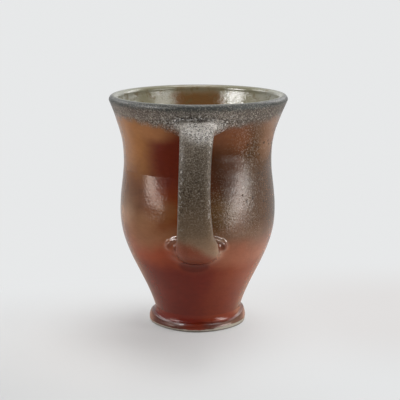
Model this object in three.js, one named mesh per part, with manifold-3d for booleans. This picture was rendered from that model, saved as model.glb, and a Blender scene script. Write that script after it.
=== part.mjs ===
import * as THREE from "three";
import { mergeVertices } from "three/addons/utils/BufferGeometryUtils.js";
import Module from "manifold-3d";

// A wheel-thrown stoneware mug with a pulled handle, in millimetres, +Z up.
// The origin is the middle of the foot's underside and the handle points to -Y.

// Thrown form: each height counts from the level below it, and each radius goes to the outside of the clay
const FOOT_HEIGHT = 8.1;
const BELLY_RISE = 50.1;
const NECK_RISE = 25.6;
const LIP_RISE = 29.9;
const WAIST_RADIUS = 21.7;
const BELLY_RADIUS = 39;
const NECK_RADIUS = 37;
const LIP_RADIUS = 43.4;
const WAIST_FLARE = THREE.MathUtils.degToRad(16);
const LIP_FLARE = THREE.MathUtils.degToRad(15);

// How far the outline holds its direction on each side of a level, as a share of the rise it runs over
const WAIST_HOLD = 0.37;
const BELLY_HOLD_BELOW = 0.4;
const BELLY_HOLD_ABOVE = 0.41;
const NECK_HOLD_BELOW = 0.32;
const NECK_HOLD_ABOVE = 0.44;
const LIP_HOLD = 0.48;

// Flared foot: widest just above the table, drawn in to its flat underside
const FOOT_RADIUS = 24.7;
const FOOT_WIDEST_HEIGHT = 1.9;
const FOOT_EDGE_INSET = 1;

// Clay and glaze thicknesses
const WALL = 4.3;
const LIP = 3.4;
const GLAZE = 0.6;

// Handle: the middle line leaves the wall below the lip, bows out and comes back below the belly
const UPPER_JOINT_DROP = 11;
const LOWER_JOINT_HEIGHT = 44.3;
const UPPER_BOW_REACH = 84.4;
const UPPER_BOW_LIFT = 6;
const LOWER_BOW_REACH = 76;
const LOWER_BOW_SAG = 2.1;

// Strap section, and the trumpet of clay at each end of it
const STRAP_WIDTH_TOP = 16.3;
const STRAP_WIDTH_NARROW = 14.2;
const STRAP_WIDTH_BOTTOM = 20.5;
const STRAP_NARROW_SHARE = 0.35;
const STRAP_THICKNESS = 8;
const STRAP_SQUARENESS = 2.6;
const JOINT_LENGTH = 9.5;
const UPPER_SEAT_WIDTH = 30.6;
const UPPER_SEAT_HEIGHT = 13;
const LOWER_SEAT_WIDTH = 32.7;
const LOWER_SEAT_HEIGHT = 19.5;
const SEAT_EDGE = 0.8;
const SEAT_ROOT = 3;
const SEAT_GAP = 0.3;

// Facets
const TURN_STEPS = 40;
const OUTLINE_STEPS = 6;
const LIP_STEPS = 6;
const RING_POINTS = 24;
const STRAP_STEPS = 26;
const FLARE_STEPS = 7;

const bellyHeight = FOOT_HEIGHT + BELLY_RISE;
const neckHeight = bellyHeight + NECK_RISE;
const lipHeight = neckHeight + LIP_RISE;
const mugHeight = lipHeight + LIP / 2 + GLAZE;
const upperJointHeight = mugHeight - UPPER_JOINT_DROP;

// Outside of the wall from the foot to the lip, as radius and height
function wallOutline() {
  const waistHold = WAIST_HOLD * BELLY_RISE;
  const lipHold = LIP_HOLD * LIP_RISE;
  const path = new THREE.Path();
  path.moveTo(WAIST_RADIUS, FOOT_HEIGHT);
  path.bezierCurveTo(
    WAIST_RADIUS + waistHold * Math.tan(WAIST_FLARE),
    FOOT_HEIGHT + waistHold,
    BELLY_RADIUS,
    bellyHeight - BELLY_HOLD_BELOW * BELLY_RISE,
    BELLY_RADIUS,
    bellyHeight,
  );
  path.bezierCurveTo(
    BELLY_RADIUS,
    bellyHeight + BELLY_HOLD_ABOVE * NECK_RISE,
    NECK_RADIUS,
    neckHeight - NECK_HOLD_BELOW * NECK_RISE,
    NECK_RADIUS,
    neckHeight,
  );
  path.bezierCurveTo(
    NECK_RADIUS,
    neckHeight + NECK_HOLD_ABOVE * LIP_RISE,
    LIP_RADIUS - lipHold * Math.tan(LIP_FLARE),
    lipHeight - lipHold,
    LIP_RADIUS,
    lipHeight,
  );
  return path.getPoints(OUTLINE_STEPS);
}

const outline = wallOutline();

// Thickness of the wall at a height: full up to the neck, then thinning to the lip
function wallThickness(height) {
  const share = THREE.MathUtils.clamp((height - neckHeight) / LIP_RISE, 0, 1);
  return THREE.MathUtils.lerp(WALL, LIP, share);
}

// Radius of the wall's outside at a height
function wallRadius(height) {
  const above = outline.findIndex((point) => point.y >= height);
  if (above === -1) {
    return LIP_RADIUS;
  }
  if (above === 0) {
    return WAIST_RADIUS;
  }
  const low = outline[above - 1];
  const high = outline[above];
  return THREE.MathUtils.mapLinear(height, low.y, high.y, low.x, high.x);
}

// Inside of the clay, from the lip's outer edge over the lip and down to the floor, or of a coat on it
function clayInside(coat) {
  const lipMiddle = LIP_RADIUS - LIP / 2;
  const lipRound = LIP / 2 + coat;
  const points = [];
  for (let step = 0; step <= LIP_STEPS; step++) {
    const angle = (Math.PI * step) / LIP_STEPS;
    const radius = lipMiddle + lipRound * Math.cos(angle);
    points.push(new THREE.Vector2(radius, lipHeight + lipRound * Math.sin(angle)));
  }
  for (const point of outline.slice(1, -1).reverse()) {
    points.push(new THREE.Vector2(point.x - wallThickness(point.y) - coat, point.y));
  }
  points.push(new THREE.Vector2(WAIST_RADIUS - WALL - coat, FOOT_HEIGHT + coat));
  return points;
}

// A closed or axis-to-axis profile of radius and height turned about the mug's axis
function turned(profile) {
  return new THREE.LatheGeometry(profile, TURN_STEPS).rotateX(Math.PI / 2);
}

// Wall: up the outside, over the lip and down the inside to its flat seat on the foot
function wallGeometry() {
  return turned([...outline, ...clayInside(0).slice(1), outline[0]]);
}

// Foot: flat underside, rounded edge, a soft hollow up to the waist and the flat floor
function footGeometry() {
  const hollow = FOOT_HEIGHT - FOOT_WIDEST_HEIGHT;
  const path = new THREE.Path();
  path.moveTo(FOOT_RADIUS - FOOT_EDGE_INSET, 0);
  path.quadraticCurveTo(FOOT_RADIUS, 0, FOOT_RADIUS, FOOT_WIDEST_HEIGHT);
  path.bezierCurveTo(
    FOOT_RADIUS,
    FOOT_WIDEST_HEIGHT + hollow / 2,
    (FOOT_RADIUS + 3 * WAIST_RADIUS) / 4,
    FOOT_HEIGHT - hollow / 3,
    WAIST_RADIUS,
    FOOT_HEIGHT,
  );
  const side = path.getPoints(OUTLINE_STEPS);
  return turned([new THREE.Vector2(0, 0), ...side, new THREE.Vector2(0, FOOT_HEIGHT)]);
}

// Liner: the coat on the floor, up the inside and over the lip
function linerGeometry() {
  const clayFace = clayInside(0);
  const glazeFace = clayInside(GLAZE);
  return turned([
    new THREE.Vector2(0, FOOT_HEIGHT),
    ...clayFace.reverse(),
    ...glazeFace,
    new THREE.Vector2(0, FOOT_HEIGHT + GLAZE),
  ]);
}

// Middle line of the handle, from the wall at the upper joint to the wall at the lower one
function handleLine() {
  return new THREE.CubicBezierCurve3(
    new THREE.Vector3(0, -wallRadius(upperJointHeight), upperJointHeight),
    new THREE.Vector3(0, -UPPER_BOW_REACH, upperJointHeight + UPPER_BOW_LIFT),
    new THREE.Vector3(0, -LOWER_BOW_REACH, LOWER_JOINT_HEIGHT - LOWER_BOW_SAG),
    new THREE.Vector3(0, -wallRadius(LOWER_JOINT_HEIGHT), LOWER_JOINT_HEIGHT),
  );
}

const line = handleLine();
const jointShare = JOINT_LENGTH / line.getLength();

// Width of the strap, from its upper end at 0 to its lower end at 1
function strapWidth(share) {
  const upper = share < STRAP_NARROW_SHARE;
  const endWidth = upper ? STRAP_WIDTH_TOP : STRAP_WIDTH_BOTTOM;
  const span = upper ? -STRAP_NARROW_SHARE : 1 - STRAP_NARROW_SHARE;
  const fromNarrow = (share - STRAP_NARROW_SHARE) / span;
  return THREE.MathUtils.lerp(STRAP_WIDTH_NARROW, endWidth, fromNarrow ** 2);
}

// Cosine or sine drawn towards a rounded oblong
function squared(value) {
  return Math.sign(value) * Math.abs(value) ** (2 / STRAP_SQUARENESS);
}

// The directions of a section of the strap: along the line, and out of the strap's outer face
function strapFrame(share) {
  const along = line.getTangentAt(THREE.MathUtils.lerp(jointShare, 1 - jointShare, share));
  return { along, outward: new THREE.Vector3(0, along.z, -along.y) };
}

// One flat section of the strap, across the middle line
function strapRing(share) {
  const middle = line.getPointAt(THREE.MathUtils.lerp(jointShare, 1 - jointShare, share));
  const { outward } = strapFrame(share);
  const halfWidth = strapWidth(share) / 2;
  const ring = [];
  for (let index = 0; index < RING_POINTS; index++) {
    const angle = (2 * Math.PI * index) / RING_POINTS;
    const point = middle.clone().addScaledVector(outward, (STRAP_THICKNESS / 2) * squared(Math.sin(angle)));
    point.x = halfWidth * squared(Math.cos(angle));
    ring.push(point);
  }
  return ring;
}

// A point on the wall, off the middle of a seat by a distance round the wall and one up it, and proud of it
function wallPoint(seatHeight, around, up, proud) {
  const angle = around / wallRadius(seatHeight);
  const radius = wallRadius(seatHeight + up) + proud;
  return new THREE.Vector3(radius * Math.sin(angle), -radius * Math.cos(angle), seatHeight + up);
}

// Trumpet from one end of the strap to its oval seat on the wall: rings that leave the strap along it and
// land on the wall along the wall, then one more inside the wall
function flareRings(end, seatHeight, seatWidth, seatTall) {
  const ring = strapRing(end);
  const { along, outward } = strapFrame(end);
  const towardsWall = along.clone().multiplyScalar(end === 0 ? -JOINT_LENGTH : JOINT_LENGTH);
  const upright = Math.sign(outward.z);
  const proud = SEAT_GAP + SEAT_EDGE;
  const rings = [];
  for (let step = 0; step <= FLARE_STEPS + 1; step++) {
    rings.push([]);
  }
  ring.forEach((start, index) => {
    const angle = (2 * Math.PI * index) / RING_POINTS;
    const around = (seatWidth / 2) * Math.cos(angle);
    const up = upright * (seatTall / 2) * Math.sin(angle);
    const landing = wallPoint(seatHeight, around, up, proud);
    const short = wallPoint(seatHeight, 0.9 * around, 0.9 * up, proud);
    const spread = landing.clone().sub(short).setLength(JOINT_LENGTH);
    for (let step = 0; step <= FLARE_STEPS; step++) {
      const share = step / FLARE_STEPS;
      const eased = share * share * (3 - 2 * share);
      const point = start.clone().lerp(landing, eased);
      point.addScaledVector(towardsWall, share * (1 - share) ** 2);
      point.addScaledVector(spread, -share * share * (1 - share));
      rings[step].push(point);
    }
    rings[FLARE_STEPS + 1].push(wallPoint(seatHeight, around, up, -SEAT_ROOT));
  });
  return rings;
}

// Middle of a ring of points
function middleOf(ring) {
  const sum = new THREE.Vector3();
  ring.forEach((point) => sum.add(point));
  return sum.divideScalar(ring.length);
}

// One closed skin over a row of rings, with a fan over each end
function loft(rings) {
  const count = rings[0].length;
  const points = [...rings.flat(), middleOf(rings[0]), middleOf(rings.at(-1))];
  const firstMiddle = points.length - 2;
  const lastMiddle = points.length - 1;
  const lastRing = (rings.length - 1) * count;
  const faces = [];
  for (let index = 0; index < count; index++) {
    const next = (index + 1) % count;
    for (let start = 0; start < lastRing; start += count) {
      faces.push(start + index, start + next, start + count + next);
      faces.push(start + index, start + count + next, start + count + index);
    }
    faces.push(firstMiddle, next, index);
    faces.push(lastMiddle, lastRing + index, lastRing + next);
  }
  return new THREE.BufferGeometry().setFromPoints(points).setIndex(faces);
}

const wasm = await Module();
wasm.setup();

// A closed geometry as a solid that can be cut
function solidFrom(geometry) {
  const bare = new THREE.BufferGeometry();
  bare.setAttribute("position", geometry.getAttribute("position"));
  bare.setIndex(geometry.index);
  const merged = mergeVertices(bare);
  const vertProperties = merged.getAttribute("position").array;
  const triVerts = new Uint32Array(merged.index.array);
  return new wasm.Manifold(new wasm.Mesh({ numProp: 3, vertProperties, triVerts }));
}

// A cut solid as a geometry
function geometryFrom(solid) {
  const { vertProperties, triVerts } = solid.getMesh();
  const geometry = new THREE.BufferGeometry();
  geometry.setAttribute("position", new THREE.BufferAttribute(vertProperties, 3));
  geometry.setIndex(new THREE.BufferAttribute(triVerts, 1));
  return geometry;
}

// All that stands inside the mug's outside and the gap kept round it, run on straight above the lip
function envelope() {
  const above = mugHeight + UPPER_SEAT_HEIGHT;
  const beadRadius = LIP_RADIUS + GLAZE + SEAT_GAP;
  return turned([
    new THREE.Vector2(0, FOOT_HEIGHT),
    ...outline.map((point) => new THREE.Vector2(point.x + SEAT_GAP, point.y)),
    new THREE.Vector2(beadRadius, lipHeight),
    new THREE.Vector2(beadRadius, above),
    new THREE.Vector2(0, above),
  ]);
}

// Strap: flat sections from one joint to the other
function strapGeometry() {
  const rings = [];
  for (let step = 0; step <= STRAP_STEPS; step++) {
    rings.push(strapRing(step / STRAP_STEPS));
  }
  return loft(rings);
}

// A joint: its trumpet with the mug's outside cut out of it
function jointGeometry(rings) {
  const clay = solidFrom(loft(rings));
  return geometryFrom(clay.subtract(solidFrom(envelope())));
}

const upperRings = flareRings(0, upperJointHeight, UPPER_SEAT_WIDTH, UPPER_SEAT_HEIGHT);
const lowerRings = flareRings(1, LOWER_JOINT_HEIGHT, LOWER_SEAT_WIDTH, LOWER_SEAT_HEIGHT);

const group = new THREE.Group();
group.name = "mug";

// Adds one named piece with its own glaze colour and shine
function piece(name, geometry, color, roughness) {
  const material = new THREE.MeshStandardMaterial({ color, roughness, metalness: 0 });
  const mesh = new THREE.Mesh(geometry, material);
  mesh.name = name;
  group.add(mesh);
}

piece("foot_base", footGeometry(), 0x5e3a33, 0.45);
piece("body_wall", wallGeometry(), 0x6e4c3c, 0.3);
piece("handle_strap", strapGeometry(), 0x6a5f52, 0.4);
piece("handle_upper_joint", jointGeometry(upperRings.reverse()), 0x74695c, 0.4);
piece("handle_lower_joint", jointGeometry(lowerRings), 0x6c4f40, 0.35);
piece("liner_glaze", linerGeometry(), 0x746a4d, 0.2);

export default group;
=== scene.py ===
import math

import bpy
import numpy as np
from mathutils import Matrix, Vector


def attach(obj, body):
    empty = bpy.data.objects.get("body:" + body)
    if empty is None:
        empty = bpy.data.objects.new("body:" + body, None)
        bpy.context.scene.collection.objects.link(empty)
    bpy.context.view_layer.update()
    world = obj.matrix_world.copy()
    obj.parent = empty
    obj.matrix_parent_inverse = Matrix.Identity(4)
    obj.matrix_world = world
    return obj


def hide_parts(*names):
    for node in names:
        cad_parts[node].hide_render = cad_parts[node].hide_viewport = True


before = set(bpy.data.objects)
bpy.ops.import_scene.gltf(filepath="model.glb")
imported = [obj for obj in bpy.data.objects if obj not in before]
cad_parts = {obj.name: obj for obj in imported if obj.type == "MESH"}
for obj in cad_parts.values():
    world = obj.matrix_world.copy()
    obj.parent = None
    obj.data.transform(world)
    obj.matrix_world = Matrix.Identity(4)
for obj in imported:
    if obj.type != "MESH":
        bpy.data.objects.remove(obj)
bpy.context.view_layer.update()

# A wheel-thrown stoneware mug. Its sizes are in millimetres, and go to metres when a mesh is made.
# The floor, sheets, lamps and camera around it are placed in metres.
# Angles go round the mug from the handle, which points to -Y, and are positive towards +X.

MM = 0.001

# Thrown form, as in the solids
FOOT_HEIGHT = 8.1
BELLY_RISE = 50.1
NECK_RISE = 25.6
LIP_RISE = 29.9
WAIST_RADIUS = 21.7
BELLY_RADIUS = 39.0
NECK_RADIUS = 37.0
LIP_RADIUS = 43.4
WAIST_FLARE = math.radians(16)
LIP_FLARE = math.radians(15)
WALL = 4.3
LIP = 3.4
GLAZE = 0.6
BELLY_HEIGHT = FOOT_HEIGHT + BELLY_RISE
NECK_HEIGHT = BELLY_HEIGHT + NECK_RISE
LIP_HEIGHT = NECK_HEIGHT + LIP_RISE
MUG_HEIGHT = LIP_HEIGHT + LIP / 2 + GLAZE

# How far the outline holds its direction on each side of a level, as a share of the rise it runs over
WAIST_HOLD = 0.37
BELLY_HOLD_BELOW = 0.4
BELLY_HOLD_ABOVE = 0.41
NECK_HOLD_BELOW = 0.32
NECK_HOLD_ABOVE = 0.44
LIP_HOLD = 0.48

# Handle, as in the solids
UPPER_JOINT_HEIGHT = MUG_HEIGHT - 11.0
LOWER_JOINT_HEIGHT = 44.3
UPPER_BOW = (84.4, 6.0)
LOWER_BOW = (76.0, -2.1)
STRAP_WIDTHS = (16.3, 14.2, 20.5)
STRAP_NARROW_SHARE = 0.35
STRAP_THICKNESS = 8.0
JOINT_LENGTH = 9.5
UPPER_SEAT = (30.6, 13.0)
LOWER_SEAT = (32.7, 19.5)

# Fineness of the meshes
TURN_STEPS = 288
RING_POINTS = 96
OUTLINE_STEPS = 64
WALL_STEPS = 56
INNER_STEPS = 16
LINER_STEPS = 40
LINE_STEPS = 2000
STRAP_RINGS = 121
UPPER_RINGS = 36
LOWER_RINGS = 60
SHARP_ANGLE = math.radians(50)
FULL_TURN = np.linspace(-math.pi, math.pi, TURN_STEPS, endpoint=False)
RING_ANGLES = 2 * math.pi * np.arange(RING_POINTS) / RING_POINTS


# Curves
def smooth(low, high, value):
    """0 below low and 1 above high, with a soft run between them."""
    share = np.clip((np.asarray(value, float) - low) / (high - low), 0.0, 1.0)
    return share * share * (3.0 - 2.0 * share)


def bell(value, middle, width):
    """1 in the middle, fading to 0 on both sides."""
    return np.exp(-(((value - middle) / width) ** 2))


def between(ends, share):
    """A number that goes from the first end to the second."""
    return ends[0] + (ends[1] - ends[0]) * share


def bezier(points, steps):
    start, first, second, end = (np.array(p, float) for p in points)
    t = np.linspace(0.0, 1.0, steps + 1)[:, None]
    s = 1.0 - t
    return s**3 * start + 3 * s * s * t * first + 3 * s * t * t * second + t**3 * end


def through(points, steps):
    """A smooth curve through the points, with the same number of steps between each two."""
    p = np.array(points, float)
    p = np.vstack([2 * p[0] - p[1], p, 2 * p[-1] - p[-2]])
    t = (np.arange(steps) / steps)[:, None]
    spans = []
    for a, b, c, d in zip(p[:-3], p[1:-2], p[2:-1], p[3:]):
        square = 2 * a - 5 * b + 4 * c - d
        cube = 3 * b - a - 3 * c + d
        spans.append(0.5 * (2 * b + (c - a) * t + square * t**2 + cube * t**3))
    return np.vstack(spans + [p[-2:-1]])


def wall_outline(steps):
    """Outside of the wall from the waist to the lip, as radius and height."""
    waist_hold = WAIST_HOLD * BELLY_RISE
    lip_hold = LIP_HOLD * LIP_RISE
    waist = (WAIST_RADIUS, FOOT_HEIGHT)
    over_waist = (WAIST_RADIUS + waist_hold * math.tan(WAIST_FLARE), FOOT_HEIGHT + waist_hold)
    under_belly = (BELLY_RADIUS, BELLY_HEIGHT - BELLY_HOLD_BELOW * BELLY_RISE)
    belly = (BELLY_RADIUS, BELLY_HEIGHT)
    over_belly = (BELLY_RADIUS, BELLY_HEIGHT + BELLY_HOLD_ABOVE * NECK_RISE)
    under_neck = (NECK_RADIUS, NECK_HEIGHT - NECK_HOLD_BELOW * NECK_RISE)
    neck = (NECK_RADIUS, NECK_HEIGHT)
    over_neck = (NECK_RADIUS, NECK_HEIGHT + NECK_HOLD_ABOVE * LIP_RISE)
    under_lip = (LIP_RADIUS - lip_hold * math.tan(LIP_FLARE), LIP_HEIGHT - lip_hold)
    lip = (LIP_RADIUS, LIP_HEIGHT)
    lower = bezier([waist, over_waist, under_belly, belly], steps)
    middle = bezier([belly, over_belly, under_neck, neck], steps)
    upper = bezier([neck, over_neck, under_lip, lip], steps)
    return np.vstack([lower, middle[1:], upper[1:]])


OUTLINE = wall_outline(OUTLINE_STEPS)


def wall_radius(height):
    return np.interp(height, OUTLINE[:, 1], OUTLINE[:, 0])


def wall_thickness(height):
    return between((WALL, LIP), np.clip((np.asarray(height, float) - NECK_HEIGHT) / LIP_RISE, 0.0, 1.0))


# Marks of the hand on the wall, in this scene alone: finger rings as pitch and shift, and where they fade
RING_RELIEF = 0.01
FINGER_RINGS = ((6.3, 0.0), (10.7, 1.3))
RINGS_OVER_FOOT = (1.0, 10.0)
RINGS_UNDER_LIP = (16.0, 3.0)
# Out of round, with two lobes and with three
OVAL_RELIEF, OVAL_SHIFT = 0.14, 0.7
LOBED_RELIEF, LOBED_SHIFT = 0.08, -1.1
# The lip spreads on the right
LIP_SPREAD = 0.8
LIP_SPREAD_START = 98.0
LIP_SPREAD_TURN, LIP_SPREAD_WIDTH = 90.0, 45.0
# Shoulder at the neck. Its values left and right of the handle are pairs, and go over at the crossing.
SHOULDER_START = 47.0
SHOULDER_EASE = 8.0
SHOULDER_FULL = 38.85
SHOULDER_FADE = 10.0
SHOULDER_CROSSING = (-12.0, 10.0)
SHOULDER_LINES = (80.0, 88.5)
SHOULDER_SUNK = (1.2, 0.7)
SHOULDER_EDGES = (0.08, 7.08)
SHOULDER_POWERS = (2.0, 2.8)
SHOULDER_TURNS = (-36.0, 34.0)
SHOULDER_SHARES = (1.0, 0.65)
LEFT_SHOULDER_WIDTHS = (27.0, 26.0)
RIGHT_SHOULDER_WIDTH = 28.0


def shoulder(angle, height):
    """A line left by a finger at the neck, higher and softer on the right. Beside the handle the belly runs
    up to it."""
    turn = np.degrees(angle)
    right = smooth(*SHOULDER_CROSSING, turn)
    line = between(SHOULDER_LINES, right)
    sunk = between(SHOULDER_SUNK, right)
    edge = between(SHOULDER_EDGES, right)
    power = between(SHOULDER_POWERS, right)
    share = np.maximum(height - SHOULDER_START, 0.0) / (line - SHOULDER_START)
    run = SHOULDER_FULL - (SHOULDER_FULL - wall_radius(line) + sunk) * share**power
    begun = smooth(SHOULDER_START - SHOULDER_EASE, SHOULDER_START + SHOULDER_EASE, height)
    below = begun * (run - wall_radius(height))
    above = -sunk * np.exp(-np.maximum(height - line, 0.0) / SHOULDER_FADE)
    left_width = np.where(turn < SHOULDER_TURNS[0], *LEFT_SHOULDER_WIDTHS)
    beside = SHOULDER_SHARES[0] * bell(turn, SHOULDER_TURNS[0], left_width)
    beside = beside + SHOULDER_SHARES[1] * bell(turn, SHOULDER_TURNS[1], RIGHT_SHOULDER_WIDTH)
    return beside * (below + (above - below) * smooth(line - edge, line + edge, height))


def throwing_marks(angle, height):
    """How far the wall stands off its true form: soft finger rings that climb round it, a little out of
    round, a lip that spreads on the right, and the shoulder."""
    rings = 0.0
    for pitch, shift in FINGER_RINGS:
        rings = rings + RING_RELIEF * np.sin(2 * math.pi * height / pitch + angle + shift)
    rings = rings * smooth(*(FOOT_HEIGHT + rise for rise in RINGS_OVER_FOOT), height)
    rings = rings * (1 - smooth(*(LIP_HEIGHT - drop for drop in RINGS_UNDER_LIP), height))
    oval = OVAL_RELIEF * np.cos(2 * angle + OVAL_SHIFT) + LOBED_RELIEF * np.cos(3 * angle + LOBED_SHIFT)
    oval = oval * smooth(FOOT_HEIGHT, BELLY_HEIGHT, height)
    wide = LIP_SPREAD * bell(np.degrees(angle), LIP_SPREAD_TURN, LIP_SPREAD_WIDTH)
    wide = wide * smooth(LIP_SPREAD_START, LIP_HEIGHT, height)
    return rings + oval + wide + shoulder(angle, height)


# Meshes
def round_axis(angle, reach, height):
    """Points round the mug's axis."""
    return np.stack([reach * np.sin(angle), -reach * np.cos(angle), height + 0.0 * angle], axis=-1)


def wall_point(angle, height, proud):
    """Points that stand this far off the thrown wall."""
    return round_axis(angle, wall_radius(height) + throwing_marks(angle, height) + proud, height)


def profile_rows(profile):
    """One turn of points for each radius and height of a profile, with the marks of throwing."""
    return [round_axis(FULL_TURN, r + throwing_marks(FULL_TURN, height), height) for r, height in profile]


def skin(rings, looped):
    """Closed skin over rings of points. The last ring joins the first, or else both ends get a flat cap."""
    count = len(rings[0])
    last = len(rings) - 1
    faces = []
    for ring in range(last + 1 if looped else last):
        low = ring * count
        high = ((ring + 1) % len(rings)) * count
        for step in range(count):
            turn = (step + 1) % count
            faces.append((low + step, low + turn, high + turn, high + step))
    if not looped:
        faces.append(tuple(range(count - 1, -1, -1)))
        faces.append(tuple(last * count + step for step in range(count)))
    return np.vstack(rings), faces


def mesh_object(name, points, faces, material):
    mesh = bpy.data.meshes.new(name)
    mesh.from_pydata((np.asarray(points) * MM).tolist(), [], faces)
    mesh.validate()
    mesh.polygons.foreach_set("use_smooth", [True] * len(mesh.polygons))
    mesh.set_sharp_from_angle(angle=SHARP_ANGLE)
    mesh.materials.append(material)
    obj = bpy.data.objects.new(name, mesh)
    bpy.context.collection.objects.link(obj)
    return obj


def note(obj, name, values):
    """Keeps one number for each point of a mesh, which its finish can read."""
    layer = obj.data.attributes.new(name, "FLOAT", "POINT")
    layer.data.foreach_set("value", np.asarray(values).astype(np.float32))


def dress(obj, node):
    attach(obj, "root")
    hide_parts(node)


# Finishes. Colours are as the eye reads them, 0 to 255, and go to linear light for the shaders.
def tone(red, green, blue):
    linear = [v / 3294.6 if v < 10.4 else ((v / 255 + 0.055) / 1.055) ** 2.4 for v in (red, green, blue)]
    return (*linear, 1.0)


class Finish:
    """A material built from nodes, on the mug's coordinates in millimetres and degrees from the handle."""

    def __init__(self, name):
        self.material = bpy.data.materials.new(name)
        self.material.use_nodes = True
        self.tree = self.material.node_tree
        self.shader = self.tree.nodes["Principled BSDF"]
        coords = self.add("ShaderNodeTexCoord").outputs["Object"]
        scale = self.add("ShaderNodeVectorMath", coords, operation="SCALE")
        scale.inputs["Scale"].default_value = 1.0 / MM
        self.place = scale.outputs["Vector"]
        self.x, self.y, self.height = self.add("ShaderNodeSeparateXYZ", self.place).outputs
        turn = self.math("ARCTAN2", self.x, self.math("MULTIPLY", self.y, -1.0))
        self.angle = self.math("MULTIPLY", turn, 180.0 / math.pi)

    def put(self, socket, value):
        if isinstance(value, bpy.types.NodeSocket):
            self.tree.links.new(value, socket)
        else:
            socket.default_value = value

    def add(self, kind, *values, **settings):
        node = self.tree.nodes.new(kind)
        for name, value in settings.items():
            setattr(node, name, value)
        for socket, value in zip(node.inputs, values):
            self.put(socket, value)
        return node

    def math(self, operation, *values):
        return self.add("ShaderNodeMath", *values, operation=operation).outputs[0]

    def times(self, first, *others):
        for other in others:
            first = self.math("MULTIPLY", first, other)
        return first

    def ramp(self, value, start, end, first, second):
        """From the first number, where the value is at its start, to the second, with a soft run between."""
        node = self.add("ShaderNodeMapRange", value, start, end, first, second)
        node.interpolation_type = "SMOOTHSTEP"
        return node.outputs[0]

    def ease(self, low, high, value):
        """0 below low and 1 above high, or the other way round where low is the larger."""
        return self.ramp(value, low, high, 0.0, 1.0)

    def texture(self, kind, shift, scale):
        """A texture node on moved and scaled coordinates."""
        at = self.add("ShaderNodeMapping", self.place, shift, (0.0, 0.0, 0.0), scale)
        node = self.add(kind)
        self.put(node.inputs["Vector"], at.outputs[0])
        node.inputs["Scale"].default_value = 1.0
        return node

    def blur(self, size, seed, detail=2.0, stretch=(1.0, 1.0, 1.0)):
        """Cloudy values about 0.5, in lumps of about this size."""
        shift = (seed, 2.3 * seed, -1.7 * seed)
        node = self.texture("ShaderNodeTexNoise", shift, tuple(s / size for s in stretch))
        node.inputs["Detail"].default_value = detail
        return node.outputs[0]

    def cells(self, size, seed):
        """Distance from the middle of the nearest of scattered cells, in cell sizes."""
        shift = (seed, 1.9 * seed, -2.1 * seed)
        return self.texture("ShaderNodeTexVoronoi", shift, (1.0 / size,) * 3).outputs["Distance"]

    def peel(self):
        """The fine waves of a fired surface, the same on every finish."""
        return self.blur(1.5, 23.0, 1.0)

    def wander(self, value, amount, size, seed):
        """The value moved about by cloudy noise."""
        drift = self.math("SUBTRACT", self.blur(size, seed), 0.5)
        return self.math("MULTIPLY_ADD", drift, 2.0 * amount, value)

    def mix(self, share, first, second, blend="MIX"):
        node = self.add("ShaderNodeMix", data_type="RGBA", blend_type=blend)
        for index, value in ((0, share), (6, first), (7, second)):
            self.put(node.inputs[index], value)
        return node.outputs[2]

    def blend(self, share, first, second):
        """Between two plain numbers."""
        node = self.add("ShaderNodeMix", share, data_type="FLOAT")
        self.put(node.inputs[2], first)
        self.put(node.inputs[3], second)
        return node.outputs[0]

    def distance(self, point):
        """Distance from a point in millimetres."""
        return self.add("ShaderNodeVectorMath", self.place, point, operation="DISTANCE").outputs["Value"]

    def oval(self, first, second):
        """Squared distance from the middle of an oval, which is 1 at its edge. Each side is a value, the
        oval's middle and its half size."""
        squares = []
        for value, middle, size in (first, second):
            away = self.math("DIVIDE", self.math("SUBTRACT", value, middle), size)
            squares.append(self.times(away, away))
        return self.math("ADD", *squares)

    def patch(self, angle, wide, height, tall, soft=0.6):
        """Soft oval patch on the wall."""
        far = self.oval((self.loose_angle, angle, wide), (self.loose_height, height, tall))
        return self.ease(1.0 + soft, 1.0 - soft, self.math("SQRT", far))

    def lean(self, low, high):
        """Rises round the wall from one angle to another, and comes to meet itself halfway round the back."""
        return self.blend(self.back, self.ease(low, high, self.loose_angle), 0.5)

    def rise(self, low, high):
        """Rises up the wall from one height to another."""
        return self.ease(low, high, self.loose_height)

    def attribute(self, name):
        return self.add("ShaderNodeAttribute", attribute_name=name).outputs["Fac"]

    def bump(self, heights):
        """Relief from pairs of a pattern and its depth in millimetres."""
        normal = None
        for pattern, depth in heights:
            node = self.add("ShaderNodeBump")
            node.inputs["Distance"].default_value = depth * MM
            self.put(node.inputs["Height"], pattern)
            if normal is not None:
                self.put(node.inputs["Normal"], normal)
            normal = node.outputs["Normal"]
        self.put(self.shader.inputs["Normal"], normal)

    def show(self, surface):
        """Puts another shader in the place of the usual one."""
        self.put(self.tree.nodes["Material Output"].inputs["Surface"], surface.outputs[0])
        return self.material

    def done(self, color, roughness, heights):
        self.put(self.shader.inputs["Base Color"], color)
        self.put(self.shader.inputs["Roughness"], roughness)
        self.bump(heights)
        return self.material


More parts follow.
